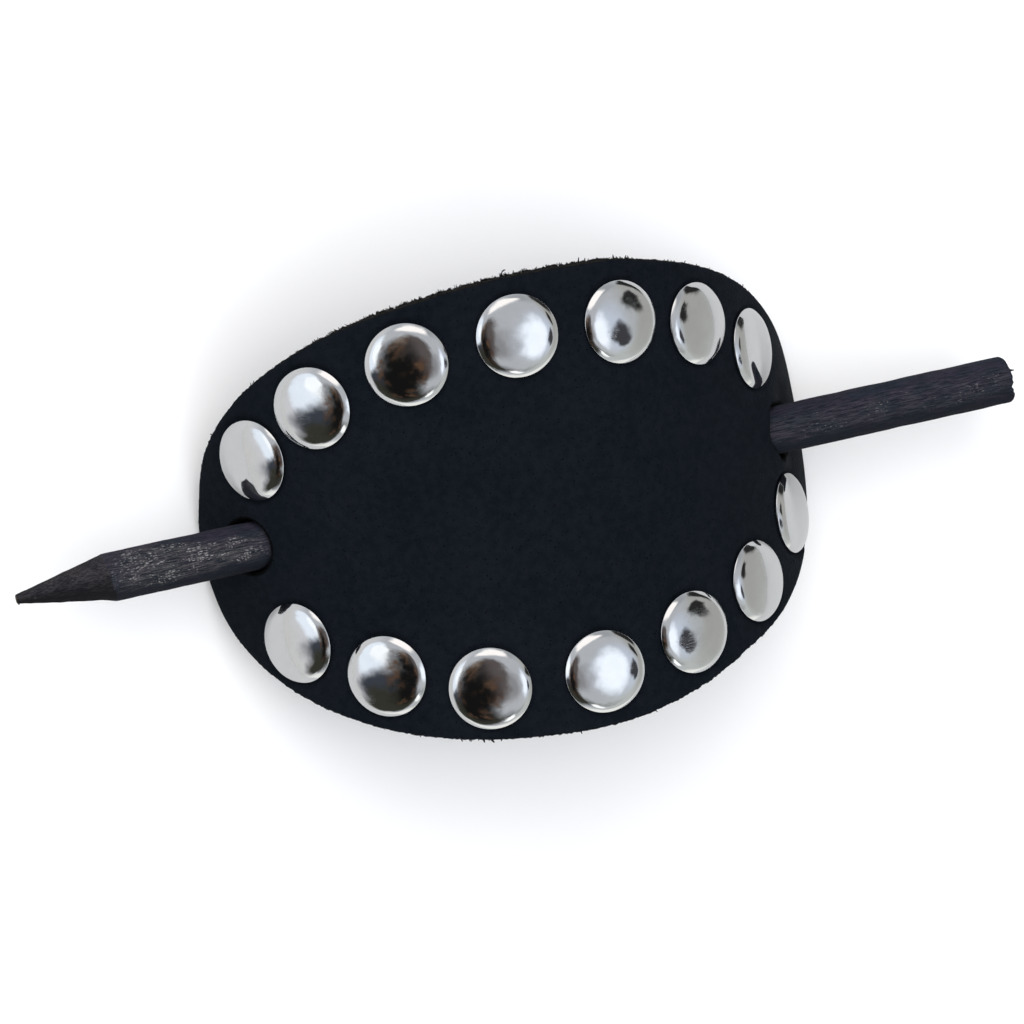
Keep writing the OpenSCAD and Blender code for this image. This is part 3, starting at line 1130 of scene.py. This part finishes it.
    def add_splinters(self, maker):
        """A splinter that stands out of the blunt end, and a burr at the tip."""
        splinter = Vector((self.end - 0.80 * MM, 1.5 * MM, self.z + 2.5 * MM))
        burr = Vector((self.start + 0.35 * MM, -self.TIP_SHIFT - 0.45 * MM, self.z + 0.1 * MM))
        for root, step, thick in (
                (splinter, Vector((0.79 * MM, -0.10 * MM, 0)), 0.40 * MM),
                (burr, Vector((-0.12 * MM, -0.38 * MM, 0)), 0.34 * MM)):
            add_fibre(maker, [root + k / 4 * step for k in range(5)], thick, 6)


def lathe(maker, rivet, profile, sides, seat, shift=None):
    """Turns a section about a rivet's middle line. It starts and ends on that line, as radius and height."""
    rings = []
    for radius, height in profile:
        points = []
        for side, front in circle(sides if radius > 0 else 1, radius):
            extra = shift(side, front, height) if shift else 0.0
            points.append(rivet.point(side, front, seat + height + extra))
        rings.append(maker.add_points(points))
    for first, second in zip(rings, rings[1:]):
        if len(first) == 1:
            maker.close_ring(second, first[0])
        elif len(second) == 1:
            maker.close_ring(first, second[0])
        else:
            maker.join_rings(first, second)


def arc(middle_r, middle_h, radius, start, end, steps):
    """Points of an arc of a section, from the angle start to end in degrees."""
    points = []
    for k in range(steps + 1):
        angle = math.radians(mix(start, end, k / steps))
        points.append((middle_r + radius * math.cos(angle), middle_h + radius * math.sin(angle)))
    return points


def bezier(start, control, end, steps):
    """Points of a curve that leaves start toward control and comes from there to end."""
    points = []
    for k in range(steps + 1):
        t = k / steps
        points.append(tuple(mix(mix(a, b, t), mix(b, c, t), t) for a, b, c in zip(start, control, end)))
    return points


def cap_section(sizes):
    """Section of a cap: its socket, the inside of its dome, its rim and its low dome."""
    rim_r = sizes.cap_width / 2
    ease = sizes.rim_height * 0.3
    bore = sizes.post_width / 2 + PLAY
    socket = bore + sizes.sheet
    inner_r = rim_r - sizes.rim_width
    inner_h = sizes.dome_height - sizes.sheet
    outer_r = rim_r - sizes.rim_width / 2

    def dome(radius, height, climb):
        turn = math.radians(climb)
        return radius * math.cos(turn), sizes.rim_height + height * math.sin(turn)

    bore_top = sizes.rim_height + inner_h - 0.25 * MM
    socket_climb = math.degrees(math.acos(socket / inner_r))
    section = [(0.0, bore_top), (bore, bore_top), (bore, 0.0), (socket, 0.0)]
    section += [dome(inner_r, inner_h, mix(socket_climb, 0, k / 8)) for k in range(9)]
    section += [(inner_r, 0.04 * MM), (inner_r + 0.04 * MM, 0.0)]
    section += arc(rim_r - ease, ease, ease, -90, 0, 6)
    # The dome runs on over the rim with hardly more slope, and turns down at a small round corner
    foot = 16
    corner = 0.06 * MM
    meet_r, meet_h = dome(outer_r, sizes.dome_height, foot)
    slope = sizes.dome_height / outer_r / math.tan(math.radians(foot))
    steep = 1.27 * slope
    middle_r = (meet_r + rim_r - corner) / 2
    middle_h = meet_h - slope * (middle_r - meet_r)
    end_h = middle_h - steep * (rim_r - corner - middle_r)
    corner_h = end_h - steep * corner
    section += bezier((rim_r, corner_h - 0.1 * MM), (rim_r, corner_h), (rim_r - corner, end_h), 5)
    section += bezier((rim_r - corner, end_h), (middle_r, middle_h), (meet_r, meet_h), 6)[1:]
    section += [dome(outer_r, sizes.dome_height, climb) for climb in range(20, 49, 4)]
    section += [dome(outer_r, sizes.dome_height, mix(48, 90, k / 13)) for k in range(1, 14)]
    section[-1] = (0.0, section[-1][1])
    return section


def back_section(sizes, post_top):
    """Section of a rivet's back: a shallow dish, the rounded edge of the flange and the post."""
    flange_r = sizes.flange_width / 2
    post_r = sizes.post_width / 2
    thick = sizes.flange_thickness
    ease = 0.28 * MM
    # The dish: how far out, as a share of the post's radius, and how deep there, in mm
    dish = ((0.0, 0.10), (0.6, 0.10), (0.85, 0.07), (1.02, 0.01), (1.15, 0.0))
    section = [(share * post_r, -thick + depth * MM) for share, depth in dish]
    section += arc(flange_r - ease, -thick + ease, ease, -90, 0, 7)
    section += [(flange_r, -0.06 * MM), (flange_r - 0.05 * MM, 0.0), (post_r, 0.0)]
    section += [(post_r, post_top - 0.15 * MM), (post_r - 0.15 * MM, post_top), (0.0, post_top)]
    return section


class Barrette:
    """The shapes that more than one piece needs, worked out from the settings and the frame."""

    # Width of the bent shoulder round a seat that a cap or a flange presses into the leather
    CAP_SHOULDER = 0.75 * MM
    FLANGE_SHOULDER = 0.55 * MM

    def __init__(self, scene):
        self.leather = scene.barrette_leather
        self.rivet_sizes = sizes = scene.barrette_rivets
        self.bow = Bow(self.leather)
        self.rivets = [Rivet(name, self.bow) for name in RIVET_NAMES]
        low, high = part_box("hair_stick")
        height = (low.z + high.z) / 2
        self.holes = [StickHole(self.bow, end, self.leather.hole_width, height) for end in (-1, 1)]
        shared = (self.bow, self.rivets, self.holes)
        self.grain = LeatherFace(*shared, -1, sizes.cap_width, sizes.cap_bite, self.CAP_SHOULDER)
        self.flesh = LeatherFace(*shared, 1, sizes.flange_width, sizes.flange_bite, self.FLANGE_SHOULDER)


class BARRETTE_OT_leather(bpy.types.Operator):
    """Make the bowed leather with its cut edges and holes"""

    bl_idname = "barrette.leather"
    bl_label = "Leather"

    def execute(self, context):
        parts = Barrette(context.scene)
        leather = parts.leather
        finishes = [grain_leather(leather), cut_leather(leather), flesh_leather(leather), lip_leather()]
        piece = LeatherBuilder(parts).build(finishes)
        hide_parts("leather_panel")
        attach(piece, "panel")
        return {"FINISHED"}


class BARRETTE_OT_edge_fibres(bpy.types.Operator):
    """Make the short fibres that stand out of the leather's cut edge"""

    bl_idname = "barrette.edge_fibres"
    bl_label = "Edge Fibres"

    def execute(self, context):
        parts = Barrette(context.scene)
        maker = make_fibres(parts.bow, parts.leather.fibres)
        piece = maker.make("edge_fibres", [bpy.data.materials["cut_leather"]])
        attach(piece, "panel")
        return {"FINISHED"}


class BARRETTE_OT_stick(bpy.types.Operator):
    """Make the stained wooden stick"""

    bl_idname = "barrette.stick"
    bl_label = "Stick"

    def execute(self, context):
        stick = context.scene.barrette_stick
        # Painted shade on the side of the lower row: how far round it reaches and how deep it is, for the
        # stick and for its point
        shaded_side, cut_shaded_side = (-0.95, 0.05, 0.80), (-0.25, 0.40, 0.9)
        stained = stained_wood("stained_wood", stick, stick.stain_colour, stick.stain_tint, 1.0, shaded_side)
        cut = stained_wood("cut_wood", stick, stick.cut_colour, stick.cut_tint, 0.45, cut_shaded_side)
        piece = StickShape(stick).build([stained, bare_wood(stick), cut])
        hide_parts("hair_stick")
        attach(piece, "stick")
        return {"FINISHED"}


class BARRETTE_OT_stud_caps(bpy.types.Operator):
    """Make the bright caps of the rivets"""

    bl_idname = "barrette.stud_caps"
    bl_label = "Stud Caps"

    SIDES = 96

    def execute(self, context):
        parts = Barrette(context.scene)
        sizes = parts.rivet_sizes
        finish = bright_plate(sizes)
        section = cap_section(sizes)
        for number, rivet in enumerate(parts.rivets):

            def pressed_waver(side, front, height):
                share = smooth_step(height, sizes.rim_height, sizes.rim_height + 0.3 * sizes.dome_height)
                spot = (side, front, 0)
                swell = waver(spot, 4.2 * MM, 70 + 3 * number) + 0.35 * waver(spot, 1.7 * MM, 71 + 3 * number)
                return sizes.dome_waver * share * swell

            maker = MeshMaker()
            lathe(maker, rivet, section, self.SIDES, parts.grain.seat, pressed_waver)
            piece = maker.make("cap_" + rivet.name, [finish])
            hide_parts(CAP_PREFIX + rivet.name)
            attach(piece, "panel")
        return {"FINISHED"}


class BARRETTE_OT_rivet_backs(bpy.types.Operator):
    """Make the flanges and posts under the leather"""

    bl_idname = "barrette.rivet_backs"
    bl_label = "Rivet Backs"

    SIDES = 64
    # Room between the top of a post and the inside of its cap
    POST_GAP = 0.3 * MM

    def execute(self, context):
        parts = Barrette(context.scene)
        sizes = parts.rivet_sizes
        finish = dull_plate(sizes)
        cap_inside = parts.grain.seat + sizes.rim_height + sizes.dome_height - sizes.sheet
        post_top = cap_inside - self.POST_GAP - parts.flesh.seat
        section = back_section(sizes, post_top)
        for rivet in parts.rivets:
            maker = MeshMaker()
            lathe(maker, rivet, section, self.SIDES, parts.flesh.seat)
            piece = maker.make("back_" + rivet.name, [finish])
            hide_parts(BACK_PREFIX + rivet.name)
            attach(piece, "panel")
        return {"FINISHED"}


# The room's light as soft round fields on a sphere: the field's name, its direction, its reach along
# X, Y and Z, how soft its edge is, and its light. Later ones cover earlier ones.
LIGHT_FIELDS = (
    ("left_wall", (-0.98, 0.05, -0.06), (0.62, 1.20, 0.60), 0.40, (0.90, 0.90, 0.98)),
    ("left_floor", (-1.0, 0.05, -0.16), (0.90, 1.30, 0.34), 0.75, (0.84, 0.84, 0.82)),
    ("near_wall", (0.75, -0.60, 0.30), (0.75, 0.65, 0.55), 0.50, (0.70, 0.73, 0.72)),
    ("right_wall", (0.87, 0.13, 0.31), (0.40, 0.76, 0.36), 0.46, (0.53, 0.53, 0.51)),
    ("far_wall", (0.35, 0.76, 0.54), (0.35, 0.34, 0.34), 0.50, (0.48, 0.50, 0.53)),
    ("far_lamp", (-0.05, 0.72, 0.68), (0.40, 0.33, 0.33), 0.22, (1.56, 1.49, 1.47)),
    ("left_lamp", (-0.87, 0.27, 0.43), (0.34, 0.40, 0.25), 0.18, (1.19, 1.29, 1.44)),
    ("left_lamp_core", (-0.79, 0.21, 0.56), (0.11, 0.23, 0.17), 0.29, (1.49, 1.54, 1.60)),
    ("grey_screen", (-0.13, -0.18, 0.96), (0.24, 0.18, 0.30), 0.52, (0.37, 0.37, 0.39)),
    ("brown_screen", (-0.39, -0.03, 0.92), (0.25, 0.30, 0.30), 0.25, (0.36, 0.26, 0.20)),
    ("brown_screen_right", (-0.28, 0.01, 0.97), (0.19, 0.34, 0.25), 0.27, (0.14, 0.12, 0.12)),
    ("dark_screen_side", (-0.70, -0.24, 0.42), (0.34, 0.16, 0.32), 0.37, (0.06, 0.07, 0.09)),
    ("dark_screen_low", (-0.44, -0.54, 0.45), (0.88, 0.31, 0.39), 0.22, (0.05, 0.05, 0.04)),
    ("dark_screen", (-0.47, -0.20, 0.67), (0.29, 0.45, 0.36), 0.33, (0.01, 0.01, 0.01)),
    ("right_halo", (0.55, -0.17, 0.87), (0.34, 0.30, 0.34), 0.56, (0.77, 0.84, 0.99)),
    ("right_lamp", (0.39, -0.19, 0.90), (0.19, 0.25, 0.28), 0.35, (1.41, 1.50, 1.66)),
    ("small_lamp", (0.03, -0.80, 0.60), (0.13, 0.13, 0.14), 0.25, (1.58, 1.59, 1.59)),
    ("small_screen_near", (0.73, -0.23, 0.72), (0.13, 0.13, 0.14), 0.28, (0.07, 0.07, 0.08)),
    ("small_screen_far", (0.84, 0.08, 0.49), (0.18, 0.15, 0.13), 0.28, (0.03, 0.03, 0.03)),
    ("corner_screen", (0.82, 0.53, 0.08), (0.26, 0.37, 0.26), 0.26, (0.03, 0.03, 0.03)),
    ("near_window", (0.10, -1.0, 0.0), (1.10, 0.45, 0.26), 0.40, (1.24, 1.24, 1.20)))

# Brown patches round the rim of the dark screens: the middle, reach and light of the ring that they lie in
SCREEN_FLECKS = ((-0.47, -0.18, 0.70), (0.36, 0.50, 0.40), (0.14, 0.08, 0.05))

# How far noise shifts the edges of the fields
FIELD_WAVE = 0.22

# Soft lamps that light the piece and the floor and don't show in the plate: place, width and power
LAMPS = (
    ("key_lamp", (0.00, 0.55, 0.85), 1.2, 5.2),
    ("fill_lamp", (-0.15, -0.40, 0.95), 1.5, 6.0))


# The camera's sensor width in millimetres, and its nearest visible distance in metres
SENSOR_WIDTH = 36
NEAR_CLIP = 0.01


def away_from(nodes, direction, middle, reach):
    """How far a direction lies from the middle of a round field, as a share of the field's reach."""
    values = {"Vector": direction, "Location": middle, "Scale": reach}
    moved = nodes.add("Mapping", values, vector_type="TEXTURE").outputs["Vector"]
    return nodes.add("VectorMath", {0: moved}, operation="LENGTH").outputs["Value"]


def light_room(settings):
    """Lights the scene from a plain room of soft lamps and screens. The camera sees only a plain white."""
    world = bpy.data.worlds.new("studio_room")
    bpy.context.scene.world = world
    world.use_nodes = True
    nodes = Nodes(world.node_tree)
    straight = nodes.add("TexCoord").outputs["Generated"]
    waves = nodes.add("TexNoise", {"Vector": straight, "Scale": 5.0, "Detail": 3.0, "Roughness": 0.6})
    shifts = {0: waves.outputs["Color"], 1: (FIELD_WAVE,) * 3, 2: (-FIELD_WAVE / 2,) * 3}
    shift = nodes.add("VectorMath", shifts, operation="MULTIPLY_ADD").outputs["Vector"]
    direction = nodes.add("VectorMath", {0: straight, 1: shift}, operation="ADD").outputs["Vector"]
    light = settings.room_colour
    for name, middle, reach, softness, colour in LIGHT_FIELDS:
        away = away_from(nodes, direction, middle, reach)
        light = nodes.blend(nodes.span(away, 1 - softness, 1 + softness, 1.0, 0.0), light, colour)
        light.node.label = name
    middle, reach, colour = SCREEN_FLECKS
    away = away_from(nodes, direction, middle, reach)
    ring = nodes.product(nodes.span(away, 0.4, 0.7, 0.1, 1.0), nodes.span(away, 0.8, 1.1, 1.0, 0.0))
    light = nodes.blend(nodes.product(nodes.clouds(straight, 6.0, 0.50, 0.68), ring), light, colour)
    room = world.node_tree.nodes["Background"]
    nodes.put(room.inputs["Color"], light)
    room.inputs["Strength"].default_value = settings.room_strength
    plain = nodes.add("Background", {"Color": (1, 1, 1, 1), "Strength": 1.0})
    seen = nodes.add("LightPath").outputs["Is Camera Ray"]
    chosen = nodes.add("MixShader", {0: seen, 1: room.outputs[0], 2: plain.outputs[0]})
    nodes.put(world.node_tree.nodes["World Output"].inputs["Surface"], chosen.outputs[0])


def hang_lamps():
    for name, place, width, power in LAMPS:
        data = bpy.data.lights.new(name, "AREA")
        data.size = width
        data.energy = power
        lamp = bpy.data.objects.new(name, data)
        turned = Vector(place).to_track_quat("Z", "Y").to_matrix().to_4x4()
        lamp.matrix_world = Matrix.Translation(place) @ turned
        lamp.visible_camera = False
        lamp.visible_glossy = False
        bpy.context.scene.collection.objects.link(lamp)


def lay_floor(settings):
    maker = MeshMaker()
    half = settings.floor_size / 2
    corners = ((-half, -half, 0), (half, -half, 0), (half, half, 0), (-half, half, 0))
    maker.add_face(maker.add_points([Vector(corner) for corner in corners]))
    floor = maker.make("studio_floor", [floor_paint(settings)])


def place_camera(settings):
    data = bpy.data.cameras.new("camera")
    data.lens = settings.camera_lens
    data.sensor_width = SENSOR_WIDTH
    data.clip_start = NEAR_CLIP
    camera = bpy.data.objects.new("camera", data)
    bpy.context.scene.collection.objects.link(camera)
    back = -Vector(settings.camera_view).normalized()
    right = Vector(settings.camera_up).cross(back).normalized()
    up = back.cross(right)
    turned = Matrix((right, up, back)).transposed().to_4x4()
    camera.matrix_world = Matrix.Translation(settings.camera_place) @ turned
    bpy.context.scene.camera = camera


class BARRETTE_OT_studio(bpy.types.Operator):
    """Set up the pale floor, the soft light and the camera"""

    bl_idname = "barrette.studio"
    bl_label = "Studio"

    def execute(self, context):
        settings = context.scene.barrette_studio
        lay_floor(settings)
        light_room(settings)
        hang_lamps()
        place_camera(settings)
        context.scene.view_settings.view_transform = "Standard"
        return {"FINISHED"}


MAKERS = (
    BARRETTE_OT_leather, BARRETTE_OT_edge_fibres, BARRETTE_OT_stick, BARRETTE_OT_stud_caps,
    BARRETTE_OT_rivet_backs, BARRETTE_OT_studio)


class VIEW3D_PT_barrette(bpy.types.Panel):
    """Makes the barrette's pieces and shows their settings"""

    bl_label = "Stick Barrette"
    bl_space_type = "VIEW_3D"
    bl_region_type = "UI"
    bl_category = "Barrette"

    def draw(self, context):
        for maker in MAKERS:
            self.layout.operator(maker.bl_idname)
        for name in SETTINGS:
            box = self.layout.box()
            settings = getattr(context.scene, name)
            for prop in settings.bl_rna.properties:
                if prop.identifier not in ("rna_type", "name"):
                    box.prop(settings, prop.identifier)


SETTINGS = {
    "barrette_leather": LeatherSettings,
    "barrette_stick": StickSettings,
    "barrette_rivets": RivetSettings,
    "barrette_studio": StudioSettings,
}
CLASSES = (*SETTINGS.values(), *MAKERS, VIEW3D_PT_barrette)


def register():
    for cls in CLASSES:
        bpy.utils.register_class(cls)
    for name, group in SETTINGS.items():
        setattr(bpy.types.Scene, name, PointerProperty(type=group))


def unregister():
    for name in SETTINGS:
        delattr(bpy.types.Scene, name)
    for cls in reversed(CLASSES):
        bpy.utils.unregister_class(cls)


def main():
    register()
    bpy.ops.barrette.studio()
    bpy.ops.barrette.leather()
    bpy.ops.barrette.edge_fibres()
    bpy.ops.barrette.stick()
    bpy.ops.barrette.stud_caps()
    bpy.ops.barrette.rivet_backs()


if __name__ == "__main__":
    main()
